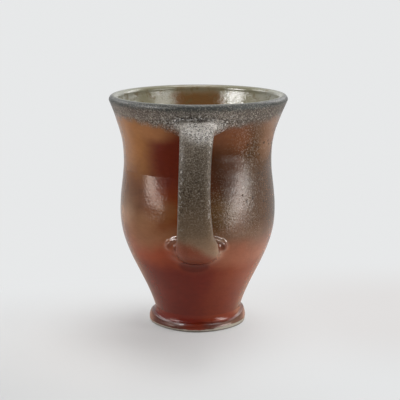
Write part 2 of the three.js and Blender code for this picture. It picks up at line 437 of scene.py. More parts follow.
# Kiln flashing, with painted shade and painted reflection where noted, each over the one before: angle, half
# width, height and half height, colour, and how strong
FLASHES_AND_PAINTED_LIGHT = (
    # Golden, above on the left
    ((-60, 30, 97, 17), (150, 98, 47), 1.0),
    # Left of the handle: orange, with maroon above it
    ((-18, 20, 68, 16), (120, 53, 4), 1.0),
    ((-17, 21, 90, 18), (98, 33, 13), 1.0),
    # Right of the handle: dark brown, with olive below it and orange above it
    ((16, 19, 84, 19), (82, 40, 14), 1.0),
    ((18, 12, 64, 9), (92, 64, 33), 1.0),
    ((22, 20, 101, 7), (114, 70, 44), 1.0),
    # Pale under the ash left of the handle, and painted reflection of the pale room at the far right edge
    ((-30, 17, 103, 5), (156, 106, 62), 0.7),
    ((72, 17, 101, 13), (138, 102, 76), 0.75),
    # Tan round the belly on the left, paler at the left edge with painted reflection of the pale room
    ((-76, 20, 60, 14), (128, 93, 64), 0.8),
    ((-22, 13, 63, 6), (122, 84, 50), 0.6),
    ((-72, 16, 54, 8), (166, 124, 92), 0.8),
    # Painted shade, darkest in the brown on the right
    ((47, 10, 79, 14), (66, 42, 20), 0.5),
    ((23, 11, 83, 14), (58, 33, 12), 0.65),
    # Pale beside the lower joint, and further left: painted reflection of the pale floor low down, then pale
    # tan
    ((21, 7, 42.5, 6), (164, 128, 110), 0.6),
    ((-21, 8, 43.5, 7), (166, 112, 94), 0.6),
    ((-60, 15, 45, 7), (160, 108, 86), 0.45),
    ((-41, 10, 57, 5), (156, 112, 76), 0.5),
    # Painted shade under the lip, right of the handle
    ((20, 8, 110, 3), (66, 58, 48), 0.6),
)


def wall_skin(f):
    """Kiln flashing on the wall, with painted shade and painted reflection in places: its colour, how much
    fly ash lies on it, and how much salt.
    """
    f.back = f.ease(95.0, 180.0, f.math("ABSOLUTE", f.angle))
    f.loose_angle = f.wander(f.angle, 9.0, 22.0, 3.0)
    f.loose_height = f.wander(f.height, 5.0, 18.0, 7.0)
    f.beside = f.math("POWER", 2.718, f.math("MULTIPLY", f.times(f.angle, f.angle), -1.0 / 900.0))
    # Brown, with olive grey on the right, and the flashes, painted shade and painted reflection over them
    olive = f.times(f.lean(22, 44), f.rise(44, 60))
    color = f.mix(olive, tone(100, 58, 28), tone(82, 54, 29))
    for place, daub_color, strength in FLASHES_AND_PAINTED_LIGHT:
        color = f.mix(f.times(f.patch(*place), strength), color, tone(*daub_color))
    # Below the belly: tan, then salmon, then red
    tan = f.mix(f.lean(-20, 30), tone(138, 92, 62), tone(108, 80, 60))
    color = f.mix(f.rise(60, 50), color, tan)
    salmon = f.mix(f.lean(-15, 25), tone(138, 58, 26), tone(140, 84, 60))
    color = f.mix(f.rise(52, 42), color, salmon)
    red = f.mix(f.lean(0, 34), tone(103, 23, 7), tone(128, 56, 26))
    color = f.mix(f.rise(42, 31), color, red)
    color = f.mix(f.times(f.patch(34, 30, 10, 14), 0.85), color, tone(108, 34, 7))
    # Painted reflection of the pale floor and room: paler towards both sides low down
    left_edge_reflection = f.times(f.lean(-46, -74), f.rise(22, 34))
    edge_reflection = f.math("MAXIMUM", left_edge_reflection, f.times(f.lean(56, 76), 0.8))
    color = f.mix(f.times(edge_reflection, f.rise(56, 44)), color, tone(142, 94, 70))
    # Ash below the lip, lower beside the handle
    edge = f.math("MULTIPLY_ADD", f.beside, 3.5, f.wander(f.height, 2.5, 6.0, 11.0))
    ash = f.ease(104.5, 109.5, edge)
    dust = f.mix(f.lean(10, 40), tone(104, 90, 78), tone(77, 65, 54))
    dust = f.mix(f.beside, dust, tone(110, 104, 97))
    color = f.mix(ash, color, dust)
    # Salt on the ash, on the olive, and right of the handle
    salt = f.times(ash, f.blend(f.beside, 1.0, 1.6))
    salt = f.math("MAXIMUM", salt, f.times(olive, f.blend(f.lean(44, 60), 0.6, 0.15)))
    salt = f.math("MAXIMUM", salt, f.times(f.patch(17, 14, 66, 13), 0.45))
    return color, ash, salt


def salted(f, color, salt, coarse_salt, pale=0.5, dark=0.6):
    """Fine light and dark specks where salt and ash have landed, and coarse ones too, whose pale ones are
    partly painted glints, over a slow mottle and short streaks. Gives the colour, and the specks as relief."""
    mottle = f.mix(f.blur(9.0, 17.0, 3.0), tone(70, 70, 70), tone(190, 190, 190))
    color = f.mix(0.35, color, mottle, "SOFT_LIGHT")
    streaks = f.mix(f.blur(1.7, 71.0, 2.0, (0.5, 0.5, 1.3)), tone(40, 40, 40), tone(215, 215, 215))
    color = f.mix(0.25, color, streaks, "SOFT_LIGHT")
    fine = f.blur(0.62, 5.0, 1.0)
    color = f.mix(f.times(f.ease(0.53, 0.68, fine), salt, pale), color, tone(168, 159, 146))
    color = f.mix(f.times(f.ease(0.49, 0.32, fine), salt, dark), color, tone(40, 29, 20))
    coarse = f.blur(1.25, 13.0, 1.0)
    color = f.mix(f.times(f.ease(0.56, 0.68, coarse), coarse_salt, 0.55), color, tone(196, 192, 186))
    color = f.mix(f.times(f.ease(0.45, 0.34, coarse), coarse_salt, 0.6), color, tone(34, 28, 22))
    return color, f.math("ADD", fine, f.times(coarse, coarse_salt, 0.8))


def make_clay():
    """Wall and lower joint. Only the joint has the attributes, which are 0 all over the wall."""
    f = Finish("flashed_clay")
    color, ash, salt = wall_skin(f)
    # The lower joint takes the handle's colours as it leaves the wall
    reach = f.attribute("off_wall")
    joint = f.mix(f.ease(0.0, 9.0, f.x), tone(122, 66, 46), tone(144, 117, 98))
    color = f.mix(f.times(f.ease(0.5, 4.0, reach), f.ease(60.0, 54.0, f.height)), color, joint)
    # Painted shade in the hollow above its arcs, and in a groove on the right
    hollow = f.times(f.ease(2.0, 3.0, reach), f.ease(45.0, 47.0, f.height))
    groove = f.times(f.ease(0.9, 1.7, reach), f.ease(45.0, 46.3, f.height))
    groove = f.times(groove, f.ease(50.6, 49.4, f.height), f.ease(-4.0, 6.0, f.x))
    hollow = f.math("MAXIMUM", hollow, groove)
    hollow_shade = f.times(hollow, f.blend(f.ease(-4.0, 4.0, f.x), 0.5, 0.85))
    color = f.mix(hollow_shade, color, tone(100, 52, 34))
    # Painted shade: a red crescent on the wall under the joint, on the handle's side alone
    shade_crescent = f.ease(1.3, 0.6, f.oval((f.x, -1.0, 7.5), (f.height, 37.0, 3.6)))
    shade_crescent = f.times(shade_crescent, f.ease(40.0, 20.0, f.y))
    color = f.mix(f.times(shade_crescent, 0.8), color, tone(86, 16, 2))
    # Specks, and pits on the right
    grains = f.math("MAXIMUM", f.times(ash, f.beside, 1.3), f.times(f.patch(48, 24, 86, 20), 0.14))
    color, fine = salted(f, color, salt, grains)
    pits = f.times(f.ease(0.2, 0.12, f.cells(4.2, 34.0)), f.lean(24, 38), f.rise(62, 70), f.rise(104, 98))
    color = f.mix(f.times(pits, 0.75), color, tone(46, 32, 20))
    # Less shine where salt lies thick, in the hollow, and on the underside of the joint
    salty = f.times(f.lean(12, 26), f.rise(77, 90), f.rise(106, 100))
    below = f.times(f.ease(46.5, 43.5, f.height), f.ease(0.8, 2.5, reach))
    gloss = f.blend(hollow, f.blend(salty, 0.5, 0.1), 0.1)
    f.put(f.shader.inputs["Specular IOR Level"], f.blend(below, gloss, 0.06))
    # The crest of the joint's ridge is glossy
    ring = f.attribute("ring_share")
    ridge = f.times(f.ease(0.1, 0.5, reach), f.ease(3.2, 2.3, reach), f.ease(44.5, 46.5, f.height))
    crest = f.times(ridge, f.ease(0.56, 0.66, ring), f.ease(0.97, 0.9, ring))
    coat = f.times(crest, f.ease(47.0, 49.5, f.height), f.blend(f.ease(-8.0, 8.0, f.x), 0.5, 0.9))
    f.put(f.shader.inputs["Coat Weight"], coat)
    f.shader.inputs["Coat IOR"].default_value = 1.85
    f.shader.inputs["Coat Roughness"].default_value = 0.14
    # Roughness stays below 0.27, because the denoiser leaves a false line where it crosses that
    rough = f.blend(ash, f.blend(f.lean(-10, 30), 0.18, 0.265), 0.22)
    rough = f.blend(f.ease(0.3, 1.0, reach), rough, 0.262)
    rough = f.blend(crest, rough, 0.1)
    grit = f.times(fine, f.blend(f.times(ash, f.beside), salt, 1.8))
    grit = f.times(grit, f.blend(f.times(salty, f.rise(62.0, 74.0)), 1.0, 1.1))
    grit = f.times(grit, f.blend(f.lean(38, 56), 1.0, 0.3))
    return f.done(color, rough, [(f.peel(), 0.06), (grit, 0.17), (pits, -0.2)])


def make_ash():
    """Strap and upper joint."""
    f = Finish("ash_glaze")
    wall_color = wall_skin(f)[0]
    # Grey brown, with a pale crest on top that comes lower on the right, partly ash and partly painted sheen
    # of the light above, and one painted white highlight
    slope = f.math("MULTIPLY_ADD", f.x, 0.28, f.wander(f.height, 2.0, 5.0, 29.0))
    crest = f.ease(99.5, 107.0, slope)
    color = f.mix(f.ease(50, 92, f.height), tone(112, 92, 72), tone(84, 73, 60))
    color = f.mix(f.ease(80.0, 92.0, f.height), color, tone(98, 87, 74))
    color = f.mix(crest, color, tone(164, 158, 150))
    painted_highlight = f.ease(7.0, 2.0, f.distance((8.6, -48.0, 107.4)))
    color = f.mix(f.times(painted_highlight, 0.9), color, tone(240, 235, 228))
    # Reddish at the lower left end
    slant = f.math("SUBTRACT", f.wander(f.height, 2.0, 6.0, 31.0), 50.0)
    slant = f.math("MULTIPLY_ADD", f.x, 0.8, slant)
    foot_end = f.mix(f.ease(0.0, 7.5, slant), tone(125, 61, 38), tone(136, 109, 86))
    color = f.mix(f.ease(61, 51, f.wander(f.height, 3.0, 7.0, 37.0)), color, foot_end)
    # The upper joint takes the wall's colours where it lands, less so on the right
    leave = f.math("MULTIPLY_ADD", f.ease(2.0, 8.0, f.x), 2.6, f.attribute("off_wall"))
    landed = f.times(f.ease(6.0, 0.5, leave), f.ease(80.0, 90.0, f.height))
    color = f.mix(landed, color, wall_color)
    # Specks, coarse on the crest and in beads along both edges, whose pale ones partly paint glints on the
    # crest and the edges' highlight
    spread = f.blend(crest, f.blend(f.ease(54, 84, f.height), 0.15, 0.75), 1.5)
    edge = f.ease(4.6, 6.8, f.math("ABSOLUTE", f.math("SUBTRACT", f.x, 0.6)))
    beads = f.times(edge, f.ease(58.0, 72.0, f.height), 0.8)
    grains = f.math("MAXIMUM", f.times(crest, 0.9), beads)
    color, fine = salted(f, color, spread, grains, 0.34, 0.9)
    grit = f.times(fine, f.blend(crest, spread, 1.8))
    f.put(f.shader.inputs["Specular IOR Level"], f.blend(crest, 0.16, 0.5))
    return f.done(color, f.blend(crest, 0.36, 0.2), [(f.peel(), 0.05), (grit, 0.24)])


def make_foot_clay():
    """Foot: the wall's colours above the crease, the flange's below it, and bare clay at the bottom, with
    painted shade in the crease, painted reflection at the flange's sides and a painted contact shadow along
    the very bottom.
    """
    f = Finish("foot_clay")
    wall_color = wall_skin(f)[0]
    over = f.attribute("over_crease")
    flange = f.mix(f.patch(-3, 13, 2, 60), tone(82, 41, 30), tone(104, 34, 14))
    flange = f.mix(f.lean(24, 46), flange, tone(104, 70, 53))
    # Painted reflection of the pale room: paler at both sides of the flange
    sides = f.math("ADD", f.lean(-58, -76), f.lean(66, 84))
    flange = f.mix(f.times(sides, 0.7), flange, tone(156, 108, 88))
    color = f.mix(f.ease(0.25, -0.25, over), wall_color, flange)
    # Painted shade in the crease
    crease = f.times(f.ease(-0.8, -0.1, over), f.ease(0.7, 0.1, over))
    color = f.mix(f.times(crease, 0.3), color, tone(70, 20, 12))
    edge = f.blend(f.lean(10, 45), 1.5, 2.3)
    bare = f.ease(0.3, -0.3, f.math("SUBTRACT", f.wander(f.height, 0.4, 3.0, 41.0), edge))
    color = f.mix(bare, color, tone(158, 152, 138))
    # Painted contact shadow along the very bottom
    color = f.mix(f.times(f.ease(1.25, 0.75, f.height), 0.85), color, tone(66, 54, 46))
    rough = f.blend(bare, 0.24, 0.6)
    return f.done(color, rough, [(f.peel(), 0.03), (f.blur(5.0, 27.0, 1.0), 0.2)])


def make_liner_glaze():
    """Glaze inside and over the lip. Inward is 0 on the roll outside, 1 inside, and rises over the lip."""
    f = Finish("liner_glaze")
    wall_color = wall_skin(f)[0]
    inward = f.attribute("inward")
    # Inside: olive near the lip, and brown further down and at the back
    back = f.ease(16.0, 9.0, f.math("ABSOLUTE", f.wander(f.x, 4.0, 7.0, 59.0)))
    brown = f.math("MAXIMUM", back, f.ease(98.0, 88.0, f.wander(f.height, 4.0, 9.0, 61.0)))
    inside = f.mix(brown, tone(144, 138, 110), tone(122, 86, 48))
    pale_lip = f.times(f.ease(110, 114.5, f.wander(f.height, 1.2, 5.0, 47.0)), f.blend(back, 1.0, 0.7))
    inside = f.mix(pale_lip, inside, tone(136, 132, 108))
    sides = f.times(f.ease(28.0, 38.0, f.math("ABSOLUTE", f.x)), f.ease(104.0, 112.0, f.height))
    inside = f.mix(f.times(sides, 0.6), inside, tone(176, 177, 168))
    spots = f.ease(0.52, 0.66, f.blur(3.4, 67.0, 2.0))
    inside = f.mix(f.times(spots, 0.55), inside, tone(112, 92, 56))
    # Outside: ash below, dark grey on the roll, and on top a pale thin edge that is a painted highlight
    dark_roll = f.ease(111.6, 114.2, f.wander(f.height, 1.4, 3.0, 53.0))
    outside = f.mix(dark_roll, wall_color, tone(70, 72, 69))
    spread = f.blend(f.ease(114.5, 111.5, f.height), 0.6, 1.2)
    outside, fine = salted(f, outside, spread, f.times(f.beside, f.ease(113.0, 110.0, f.height)))
    color = f.mix(f.ease(0.4, 0.75, inward), outside, inside)
    # Painted highlight over the top of the lip
    pale = f.times(f.ease(0.3, 0.5, inward), f.ease(0.85, 0.6, inward))
    color = f.mix(f.times(pale, 0.45), color, tone(158, 158, 142))
    rough = f.blend(f.ease(0.45, 0.8, inward), 0.34, 0.15)
    f.put(f.shader.inputs["Specular IOR Level"], f.blend(f.ease(0.3, 0.6, inward), 0.28, 0.5))
    grit = f.times(fine, f.blend(f.ease(115.0, 111.5, f.height), 0.6, 1.1))
    grit = f.times(grit, f.blend(f.ease(0.4, 0.7, inward), 1.0, 0.3))
    return f.done(color, rough, [(f.peel(), 0.11), (grit, 0.3)])


clay = make_clay()
ash_glaze = make_ash()
foot_clay = make_foot_clay()
liner = make_liner_glaze()


# Wall
def inner_profile(coat, steps):
    """Inside of the wall, under a coat this thick."""
    inner = wall_outline(steps)
    inner[:, 0] -= wall_thickness(inner[:, 1]) + coat
    return inner


def lip_arc(radius, steps, start, end):
    angles = np.linspace(start, end, steps + 1)
    across = LIP_RADIUS - LIP / 2 + radius * np.cos(angles)
    return np.stack([across, LIP_HEIGHT + radius * np.sin(angles)], axis=-1)


def make_wall():
    creases = [SHOULDER_LINES[0] + step * SHOULDER_EDGES[0] for step in (-1.0, -0.3, 0.3, 1.0)]
    heights = np.sort(np.concatenate([wall_outline(WALL_STEPS)[:, 1], creases]))
    outside = np.stack([wall_radius(heights), heights], axis=-1)
    over = lip_arc(LIP / 2, 12, 0.0, math.pi)[1:-1]
    inside = inner_profile(0.0, INNER_STEPS)[::-1]
    points, faces = skin(profile_rows(np.vstack([outside, over, inside])), True)
    return mesh_object("body_wall_thrown", points, faces, clay)


dress(make_wall(), "body_wall")


# Liner: the coat inside and the roll over the lip, which thins out down the wall and ends just under its skin
ROLL_DROP = 7.0
ROLL_END = -0.1
ROLL_POWER = 1.3
FILLET_RISE = 5.0
LIP_GAP = 0.1
# Radius of the rows that close a floor at the axis
AXIS = 0.02
# How far the unseen back of the coat lies inside the clay
BACK_SUNK = 0.3
FLOOR_SUNK = 0.2
SIDE_SUNK = 0.4


def make_liner():
    roll_low = LIP_HEIGHT - ROLL_DROP
    heights = np.linspace(roll_low, LIP_HEIGHT, 22)[:-1]
    stand = between((ROLL_END, GLAZE), ((heights - roll_low) / ROLL_DROP) ** ROLL_POWER)
    roll = np.stack([wall_radius(heights) + stand, heights], axis=-1)
    over = lip_arc(LIP / 2 + GLAZE, 28, 0.0, math.pi)
    inside = inner_profile(GLAZE, LINER_STEPS)[::-1]
    inside = inside[(inside[:, 1] > FOOT_HEIGHT + FILLET_RISE) & (inside[:, 1] < LIP_HEIGHT - LIP_GAP)]
    radius, height = inside[-1]
    floor = FOOT_HEIGHT + GLAZE
    bend = [(radius, height), (radius - 1.6, height - 3.0), (radius - 3.4, floor), (radius - 6.5, floor)]
    fillet = bezier(bend, 12)[1:]
    middle = np.stack([np.linspace(fillet[-1, 0], AXIS, 8)[1:], np.full(7, floor)], axis=-1)
    back_height = FOOT_HEIGHT - FLOOR_SUNK
    back_floor = np.array([[AXIS, back_height], [WAIST_RADIUS - WALL - SIDE_SUNK, back_height]])
    back = inner_profile(-BACK_SUNK, INNER_STEPS)[1:]
    back_lip = lip_arc(LIP / 2 - BACK_SUNK, 10, math.pi, 0.0)
    side_heights = (LIP_HEIGHT - 2.0, LIP_HEIGHT - 4.5, roll_low)
    back_side = np.array([[wall_radius(h) - SIDE_SUNK, h] for h in side_heights])
    profile = np.vstack([roll, over, inside, fillet, middle, back_floor, back, back_lip, back_side])
    points, faces = skin(profile_rows(profile), True)
    obj = mesh_object("liner_glaze_coat", points, faces, liner)
    rest = len(profile) - len(roll) - len(over)
    inward = np.concatenate([np.zeros(len(roll)), np.linspace(0.0, 1.0, len(over)), np.ones(rest)])
    note(obj, "inward", np.repeat(inward, TURN_STEPS))
    return obj


dress(make_liner(), "liner_glaze")


# Foot: a rolled flange that swells and climbs on both sides, a crease above it and a flat underside.
# Humps and dips of its rim and crease are size, angle and width.
RIM_RADIUS = 23.85
RIM_HUMPS = ((0.85, -80, 26), (0.5, 92, 30), (0.35, 0, 45), (0.25, 170, 50))
RIM_WAVE, RIM_WAVE_SHIFT = 0.12, 0.6
CREASE_HEIGHT = 4.35
CREASE_HUMPS = ((2.7, 100, 34), (1.5, -92, 30), (0.35, 8, 16), (1.2, 178, 40))
CREASE_DIPS = ((0.4, 46, 12), (0.4, -44, 14))
# Under the handle the crease is a fold, and elsewhere a soft fillet
FOLDS = ((0.8, 8, 26),)
UNDERSIDE_SHARES = (0.02, 0.2, 0.4, 0.6, 0.8, 0.93)
TOP_SHARES = (0.9, 0.6, 0.3, 0.02)
SIDE_STEPS = 7


def humps(rows):
    """Swellings round the foot at each angle of a full turn, from rows of size, angle and width."""
    total = 0.0
    for size, middle, width in rows:
        away = (np.degrees(FULL_TURN) - middle + 180.0) % 360.0 - 180.0
        total = total + size * bell(away, 0.0, width)
    return total


def foot_side(edge, top, soft):
    """Side of the foot at one angle, from its rim's radius, its crease's height and the crease's softness."""
    root = WAIST_RADIUS
    left = FOOT_HEIGHT - top
    rolled = [
        (edge - 2.1, 0.0),
        (edge - 1.1, 0.12),
        (edge - 0.3, 0.62),
        (edge, 0.42 * top),
        (edge - 0.2, 0.66 * top),
        (edge - 0.65, 0.87 * top),
    ]
    folded = [
        (0.45 * edge + 0.55 * root, 0.985 * top),
        (root + 0.05, top),
        (root - 0.2, top + 0.18 * left),
        (root - 0.05 - 0.15 * left, top + 0.5 * left),
        (root, FOOT_HEIGHT),
    ]
    filleted = [
        (0.6 * edge + 0.4 * root, 0.98 * top),
        (root + 0.5, top + 0.14 * left),
        (root + 0.12, top + 0.36 * left),
        (root - 0.03, top + 0.66 * left),
        (root, FOOT_HEIGHT),
    ]
    crease = between(np.array([folded, filleted]), soft)
    return through(rolled + list(crease), SIDE_STEPS)


def make_foot():
    rim = RIM_RADIUS + humps(RIM_HUMPS) + RIM_WAVE * np.cos(5 * FULL_TURN + RIM_WAVE_SHIFT)
    crease = CREASE_HEIGHT + humps(CREASE_HUMPS) - humps(CREASE_DIPS)
    soft = 1 - humps(FOLDS)
    side = np.array([foot_side(*values) for values in zip(rim, crease, soft)])
    flat = np.zeros_like(FULL_TURN)
    rows = [(share * side[:, 0, 0], flat) for share in UNDERSIDE_SHARES]
    rows += [(side[:, i, 0], side[:, i, 1]) for i in range(side.shape[1])]
    rows += [(flat + share * WAIST_RADIUS, flat + FOOT_HEIGHT) for share in TOP_SHARES]
    points, faces = skin([round_axis(FULL_TURN, reach, height) for reach, height in rows], False)
    obj = mesh_object("foot_base_flange", points, faces, foot_clay)
    note(obj, "over_crease", np.concatenate([height - crease for reach, height in rows]))
    return obj


dress(make_foot(), "foot_base")


# Handle: one run of rings from wall to wall, cut into the two joints and the strap
LINE = bezier(
    [
        (wall_radius(UPPER_JOINT_HEIGHT), UPPER_JOINT_HEIGHT),
        (UPPER_BOW[0], UPPER_JOINT_HEIGHT + UPPER_BOW[1]),
        (LOWER_BOW[0], LOWER_JOINT_HEIGHT + LOWER_BOW[1]),
        (wall_radius(LOWER_JOINT_HEIGHT), LOWER_JOINT_HEIGHT),
    ],
    LINE_STEPS,
)
LINE_LENGTHS = np.concatenate([[0.0], np.cumsum(np.hypot(*np.diff(LINE, axis=0).T))])
STRAP_END = LINE_LENGTHS[-1] - JOINT_LENGTH

# How square the strap's faces are. The outer one changes between two shares of its length.
OUTER_SQUARE = (3.0, 1.8)
OUTER_CHANGE = (0.62, 0.9)
INNER_SQUARE = 2.3
# Changes of its half width, as amount and shares of its length: on both sides, on the right and on the left
BOTH_SWELLS = ((-0.2, 0.55, 0.95),)
RIGHT_SWELLS = ((0.5, 0.5, 0.72), (1.6, 0.71, 0.8), (-1.6, 0.84, 1.0))
LEFT_SWELLS = ((-2.2, 0.84, 1.0),)
# Hollow along the outer face, and how far the upper half sways to the right
HOLLOW_DEPTH, HOLLOW_WIDTH = 0.25, 3.2
SWAY, SWAY_END = 0.8, 0.5
# The joints' seats, beside the finger gap: the upper one is pinched, the lower one is wider and taller
UPPER_PINCH = 0.4
LOWER_WIDER, LOWER_GAP_WIDER = 1.03, 0.1
LOWER_TALLER = 0.07
# The lower joint lands on the wall further along it below, and has a ridge above
LOWER_LANDING = 1.1
RIDGE, RIDGE_SHARE, RIDGE_WIDTH = 1.4, 0.8, 0.1
# How far each joint keeps the strap's direction, and then the wall's
UPPER_HOLDS = (0.8, 2.0)
LOWER_HOLDS = (1.3, 1.15)
# How far the seats stand off the wall, and end inside it
SEAT_PROUD = 0.04
SEAT_SUNK = 1.5
# Half the length over which a direction is measured
LINE_STEP = 0.2
RING_STEP = 0.1


def line_at(length):
    return np.array([np.interp(length, LINE_LENGTHS, LINE[:, i]) for i in range(2)])


def strap_width(share):
    top, narrow, bottom = STRAP_WIDTHS
    if share < STRAP_NARROW_SHARE:
        return between((narrow, top), ((STRAP_NARROW_SHARE - share) / STRAP_NARROW_SHARE) ** 2)
    return between((narrow, bottom), ((share - STRAP_NARROW_SHARE) / (1 - STRAP_NARROW_SHARE)) ** 2)


def swelling(swells, share):
    return sum(size * smooth(start, end, share) for size, start, end in swells)


def strap_ring(length):
    """One section of the strap, at a length along the handle's line: flat outer face, rounder inner face."""
    share = (length - JOINT_LENGTH) / (STRAP_END - JOINT_LENGTH)
    middle = line_at(length)
    along = line_at(length + LINE_STEP) - line_at(length - LINE_STEP)
    along /= np.hypot(*along)
    out = np.array([-along[1], along[0]])
    cos, sin = np.cos(RING_ANGLES), np.sin(RING_ANGLES)
    square = np.where(sin > 0, between(OUTER_SQUARE, smooth(*OUTER_CHANGE, share)), INNER_SQUARE)
    half = strap_width(share) / 2 + swelling(BOTH_SWELLS, share)
    half = half + np.where(cos > 0, swelling(RIGHT_SWELLS, share), swelling(LEFT_SWELLS, share))
    across = half * np.sign(cos) * np.abs(cos) ** (2 / square)
    depth = STRAP_THICKNESS / 2 * np.sign(sin) * np.abs(sin) ** (2 / square)
    depth = np.where(sin > 0, depth - HOLLOW_DEPTH * bell(across, 0.0, HOLLOW_WIDTH), depth)
    sway = SWAY * (1 - smooth(0.0, SWAY_END, share))
    return np.stack([across + sway, -(middle[0] + depth * out[0]), middle[1] + depth * out[1]], axis=-1)


def flare_rings(at_top, steps, leave_hold, land_hold):
    """Rings that leave one end of the strap along it and land along the wall, then one inside the wall.
    The larger a hold, the further the flare keeps the direction that it has at that end."""
    length = JOINT_LENGTH if at_top else STRAP_END
    seat_height = UPPER_JOINT_HEIGHT if at_top else LOWER_JOINT_HEIGHT
    width, tall = UPPER_SEAT if at_top else LOWER_SEAT
    start = strap_ring(length)
    leave = (strap_ring(length + RING_STEP) - strap_ring(length - RING_STEP)) / (2 * RING_STEP)
    leave = leave * (-1.0 if at_top else 1.0) * JOINT_LENGTH * leave_hold
    cos, sin = np.cos(RING_ANGLES), np.sin(RING_ANGLES)
    by_gap = np.maximum(0.0, -sin)
    around = width / 2 * cos / wall_radius(seat_height)
    up = tall / 2 * sin
    held = JOINT_LENGTH * land_hold
    ridge = np.zeros((RING_POINTS, 3))
    if at_top:
        around *= 1 - UPPER_PINCH * by_gap
    else:
        around *= LOWER_WIDER + LOWER_GAP_WIDER * by_gap
        up *= -1.0 - LOWER_TALLER * smooth(0.0, 0.4, -sin)
        held = held * (1 + LOWER_LANDING * smooth(-0.75, -0.1, sin))
        ridge = RIDGE * smooth(0.05, 0.4, -sin)[:, None] * round_axis(around, 1.0, 0.0)
    landing = wall_point(around, seat_height + up, SEAT_PROUD)
    spread = landing - wall_point(0.9 * around, seat_height + 0.9 * up, SEAT_PROUD)
    spread *= (held / np.linalg.norm(spread, axis=1))[:, None]
    rings = []
    for share in np.linspace(0.0, 1.0, steps + 1):
        rings.append(
            start
            + (landing - start) * smooth(0.0, 1.0, share)
            + leave * share * (1 - share) ** 2
            - spread * share * share * (1 - share)
            + ridge * bell(share, RIDGE_SHARE, RIDGE_WIDTH)
        )
    rings.append(wall_point(around, seat_height + up, -SEAT_SUNK))
    return rings


def handle_piece(name, rings, material):
    points, faces = skin(rings, False)
    obj = mesh_object(name, points, faces, material)
    note(obj, "off_wall", np.hypot(points[:, 0], points[:, 1]) - wall_radius(points[:, 2]))
    note(obj, "ring_share", np.repeat(np.linspace(0.0, 1.0, len(rings)), RING_POINTS))
    return obj


strap_rings = [strap_ring(length) for length in np.linspace(JOINT_LENGTH, STRAP_END, STRAP_RINGS)]
strap = handle_piece("handle_strap_pulled", strap_rings, ash_glaze)
upper_rings = flare_rings(True, UPPER_RINGS, *UPPER_HOLDS)[::-1]
upper_joint = handle_piece("handle_upper_joint_worked", upper_rings, ash_glaze)
lower_rings = flare_rings(False, LOWER_RINGS, *LOWER_HOLDS)
lower_joint = handle_piece("handle_lower_joint_worked", lower_rings, clay)
dress(strap, "handle_strap")
dress(upper_joint, "handle_upper_joint")
dress(lower_joint, "handle_lower_joint")


# Floor: paper near the mug, which takes its shadow, and a pale sweep far from it, both with painted shade to
# the front and left
WHITE = (1.0, 1.0, 1.0, 1.0)
PALE = (0.8, 0.81, 0.815, 1.0)
SHADED_WARM_PALE = (0.757, 0.742, 0.736, 1.0)
WARM_SHINE = (0.97, 0.8, 0.69, 1.0)
PAPER = (0.75, 0.747, 0.742, 1.0)
SHADED_LEFT_PAPER = (0.95 * 0.75, 0.95 * 0.747, 0.95 * 0.742, 1.0)
PAPER_ROUGHNESS = 0.9
PAPER_SPECULAR = 0.2
SHADOW_MIDDLE = (-38.0, -50.0, 0.0)
FLOOR_HALF = 8
ONE_FACE = [(0, 1, 2, 3)]


def seen_or_reflected(tree):
    """First 1 for a ray from the eye, from a shiny surface or through glass, and 0 for one that only gathers
    light. Then 1 for a ray from a shiny surface alone."""
    path = tree.nodes.new("ShaderNodeLightPath")
    total = path.outputs["Is Camera Ray"]
    for name in ("Is Glossy Ray", "Is Transmission Ray"):
        plus = tree.nodes.new("ShaderNodeMath")
        plus.operation = "MAXIMUM"
        tree.links.new(total, plus.inputs[0])
        tree.links.new(path.outputs[name], plus.inputs[1])
        total = plus.outputs[0]
    return total, path.outputs["Is Glossy Ray"]


def floor_material():
    f = Finish("floor_paper")
    # Painted shade: a little darker to the front, and to the left of the mug
    painted_floor_shade = f.blend(f.ease(20.0, -120.0, f.y), 1.0, f.blend(f.ease(-10.0, 90.0, f.x), 0.88, 0.97))
    left = f.times(f.ease(-35.0, -100.0, f.x), f.ease(60.0, -20.0, f.y))
    painted_floor_shade = f.times(painted_floor_shade, f.blend(left, 1.0, 0.93))
    paper = f.mix(f.ease(60.0, -120.0, f.x), PAPER, SHADED_LEFT_PAPER)
    f.put(f.shader.inputs["Base Color"], f.mix(1.0, paper, painted_floor_shade, "MULTIPLY"))
    f.shader.inputs["Roughness"].default_value = PAPER_ROUGHNESS
    f.shader.inputs["Specular IOR Level"].default_value = PAPER_SPECULAR
    seen, glossy = seen_or_reflected(f.tree)
    far = f.distance((0.0, 0.0, 0.0))
    reach = f.blend(glossy, f.ease(8.0, 125.0, f.distance(SHADOW_MIDDLE)), 1.0)
    # In the mug's shine the floor is brightest on the right, dimmer on the left and dark to the front
    level = f.blend(f.ease(-70.0, 70.0, f.x), 0.54, 0.86)
    level = f.blend(f.ease(0.0, -45.0, f.y), level, 0.42)
    level = f.blend(f.ease(-60.0, -150.0, f.y), level, 0.05)
    level = f.times(level, f.blend(f.ease(90.0, 180.0, far), 1.0, 0.7))
    level = f.blend(f.ease(10.0, 160.0, f.y), level, 0.74)
    # Painted soft shade with a reddish bounce right of the mug, and warmer close to it in the shine
    bounce_shade = f.ease(1.0, 0.2, f.math("SQRT", f.oval((f.x, 105.0, 150.0), (f.y, 10.0, 110.0))))
    pale = f.mix(bounce_shade, PALE, SHADED_WARM_PALE)
    shine = f.mix(f.ease(140.0, 70.0, far), PALE, WARM_SHINE)
    sweep = f.add("ShaderNodeEmission", f.mix(glossy, pale, shine), f.blend(glossy, painted_floor_shade, level))
    share = f.times(reach, seen)
    return f.show(f.add("ShaderNodeMixShader", share, f.shader.outputs[0], sweep.outputs[0]))


def stage_sheet(name, points, faces, material):
    mesh = bpy.data.meshes.new(name)
    mesh.from_pydata(points, [], faces)
    mesh.materials.append(material)
    obj = bpy.data.objects.new(name, mesh)
    bpy.context.collection.objects.link(obj)
    return obj


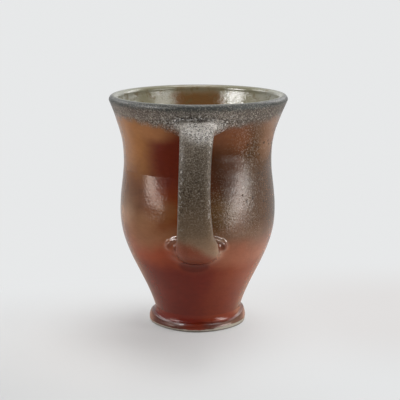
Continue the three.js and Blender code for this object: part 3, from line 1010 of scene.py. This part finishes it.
floor_corners = [(x * FLOOR_HALF, y * FLOOR_HALF, 0) for x, y in ((-1, -1), (1, -1), (1, 1), (-1, 1))]
stage_sheet("floor", floor_corners, ONE_FACE, floor_material())


# Flags, seen only in the mug's shine: the room is dark behind the camera and dim on both sides.
# Their light changes with height up to a level, and from front to back between two places, in millimetres.
FLAG_TOP = 300.0
FLAG_FRONT, FLAG_BACK = -620.0, -140.0
FRONT_FLAG_LEVEL = 0.05
SIDE_FLAG_LEVEL, SIDE_FLAG_FOOT, SIDE_FLAG_DIM = 0.18, 0.42, 0.15
# Distance of the glow sheets from the axis
GLOW_REACH = 0.3


def flag(name, points, faces, level, foot_level, color=WHITE, front=1.0):
    """A sheet with one level of light above and one at its foot, dimmed at the front by a share."""
    f = Finish(name + "_cloth")
    upward = f.ramp(f.height, 0.0, FLAG_TOP, foot_level, level)
    backward = f.ramp(f.y, FLAG_FRONT, FLAG_BACK, front, 1.0)
    cloth = f.show(f.add("ShaderNodeEmission", color, f.times(upward, backward)))
    obj = stage_sheet(name, points, faces, cloth)
    obj.visible_camera = False
    obj.visible_diffuse = False
    obj.visible_transmission = False
    obj.visible_shadow = False


def upright(start, end, height):
    """Corners of an upright sheet over a line on the floor."""
    return [(*start, 0.0), (*end, 0.0), (*end, height), (*start, height)]


front_corners = upright((-1.1, -0.9), (1.1, -0.9), 1.3)
flag("front_flag", front_corners, ONE_FACE, FRONT_FLAG_LEVEL, FRONT_FLAG_LEVEL)
for name, side in (("left_flag", -0.55), ("right_flag", 0.55)):
    side_corners = upright((side, -1.0), (side, 0.75), 1.0)
    flag(name, side_corners, ONE_FACE, SIDE_FLAG_LEVEL, SIDE_FLAG_FOOT, front=SIDE_FLAG_DIM)


def round_the_mug(chain):
    """Points from pairs of degrees from the handle and height, all as far from the axis."""
    turns, heights = np.array(chain, float).T
    return round_axis(np.radians(turns), GLOW_REACH, heights * MM).tolist()


def glow(name, first, second, level, color=WHITE):
    """A lit sheet between two chains of points round the mug, seen only in its shine."""
    points = round_the_mug(first) + round_the_mug(second)
    count = len(first)
    faces = [(i, i + 1, count + i + 1, count + i) for i in range(count - 1)]
    flag(name, points, faces, level, level, color)


def glow_band(name, turns, low, high, level):
    """A lit sheet between two heights."""
    glow(name, [(turn, low) for turn in turns], [(turn, high) for turn in turns], level)


LEFT_GLOW = (
    [(-77.5, 125.0), (-79.0, 96.0), (-79.5, 74.0), (-74.0, 62.0), (-65.0, 56.0), (-55.0, 48.0)],
    [(-70.0, 128.0), (-67.5, 104.0), (-63.5, 85.0), (-58.4, 74.0), (-52.5, 64.0), (-48.0, 50.0)],
)
RIGHT_GLOW = (
    [(74.0, 98.0), (70.5, 88.0), (68.0, 80.0), (63.0, 73.0)]
    + [(55.0, 56.0), (47.5, 41.0), (41.5, 23.0), (38.5, 13.0)],
    [(83.0, 94.0), (83.0, 87.0), (82.5, 80.0), (81.5, 72.0)]
    + [(78.0, 56.0), (73.0, 41.0), (63.0, 23.0), (56.0, 13.0)],
)

glow("left_glow", *LEFT_GLOW, 7.0, (1.0, 0.86, 0.76, 1.0))
glow("right_glow", *RIGHT_GLOW, 13.0, (1.0, 0.97, 0.93, 1.0))
glow_band("left_sheet", range(-134, -100, 11), 225.0, 380.0, 5.0)
glow_band("right_sheet", range(116, 150, 11), 200.0, 380.0, 5.0)


# Light
def softbox(name, low, high, width, aim, radiance, shine=True, light=True):
    """A lit panel that runs from one point to another and faces a third."""
    low, high, aim = Vector(low), Vector(high), Vector(aim)
    data = bpy.data.lights.new(name, "AREA")
    data.shape = "RECTANGLE"
    data.size, data.size_y = width, (high - low).length
    data.energy = radiance * math.pi * data.size * data.size_y
    lamp = bpy.data.objects.new(name, data)
    middle = (low + high) / 2
    along = (high - low).normalized()
    back = middle - aim
    back = (back - back.dot(along) * along).normalized()
    lamp.rotation_euler = Matrix((along.cross(back), along, back)).transposed().to_euler()
    lamp.location = middle
    bpy.context.collection.objects.link(lamp)
    lamp.visible_camera = False
    lamp.visible_diffuse = light
    lamp.visible_glossy = shine


MUG_MIDDLE = (0.0, 0.0, 0.07)
LEFT_AIM = (0.02, 0.034, 0.11)
RIGHT_AIM = (-0.02, 0.034, 0.11)

# The strips light the mug from both sides and don't show in its shine, and the side panels show only there
softbox("left_strip", (-0.254, -0.1595, 0.044), (-0.298, -0.035, 0.122), 0.058, MUG_MIDDLE, 8.5, shine=False)
softbox("right_strip", (0.2497, -0.1663, 0.02), (0.297, -0.0412, 0.098), 0.06, MUG_MIDDLE, 15.0, shine=False)
softbox("left_panel", (-0.218, -0.206, 0.27), (-0.29, -0.07, 0.252), 0.056, LEFT_AIM, 31.0, light=False)
softbox("right_panel", (0.212, -0.212, 0.272), (0.296, -0.05, 0.232), 0.052, RIGHT_AIM, 10.0, light=False)
softbox("top_panel", (0.03, -0.05, 0.7), (0.03, 0.2, 0.7), 0.3, MUG_MIDDLE, 7.0)

ROOM_LEVEL = 0.72


def make_world():
    """A room that lights the mug evenly, and is pale where it is seen."""
    world = bpy.data.worlds.new("studio")
    bpy.context.scene.world = world
    world.use_nodes = True
    tree = world.node_tree
    room = tree.nodes["Background"]
    room.inputs["Color"].default_value = WHITE
    room.inputs["Strength"].default_value = ROOM_LEVEL
    pale = tree.nodes.new("ShaderNodeBackground")
    pale.inputs["Color"].default_value = PALE
    blend = tree.nodes.new("ShaderNodeMixShader")
    tree.links.new(seen_or_reflected(tree)[0], blend.inputs[0])
    tree.links.new(room.outputs[0], blend.inputs[1])
    tree.links.new(pale.outputs[0], blend.inputs[2])
    tree.links.new(blend.outputs[0], tree.nodes["World Output"].inputs["Surface"])


make_world()

# Camera, at the photograph's distance and height
CAMERA_DISTANCE = 0.58
CAMERA_HEIGHT = 0.1856
CAMERA_PITCH = math.radians(12.0)
CAMERA_AZIMUTH = math.radians(1.3)
CAMERA_YAW = math.radians(0.113)
FOCAL_PIXELS = 1175.0
FRAME_PIXELS = 400.0
SENSOR_WIDTH = 36.0

camera_data = bpy.data.cameras.new("camera")
camera_data.sensor_width = SENSOR_WIDTH
camera_data.lens = FOCAL_PIXELS / FRAME_PIXELS * SENSOR_WIDTH
camera = bpy.data.objects.new("camera", camera_data)
camera.location = round_axis(CAMERA_AZIMUTH, CAMERA_DISTANCE, CAMERA_HEIGHT)
camera.rotation_euler = (math.pi / 2 - CAMERA_PITCH, 0.0, CAMERA_AZIMUTH - CAMERA_YAW)
bpy.context.collection.objects.link(camera)
bpy.context.scene.camera = camera
bpy.context.scene.view_settings.view_transform = "Standard"
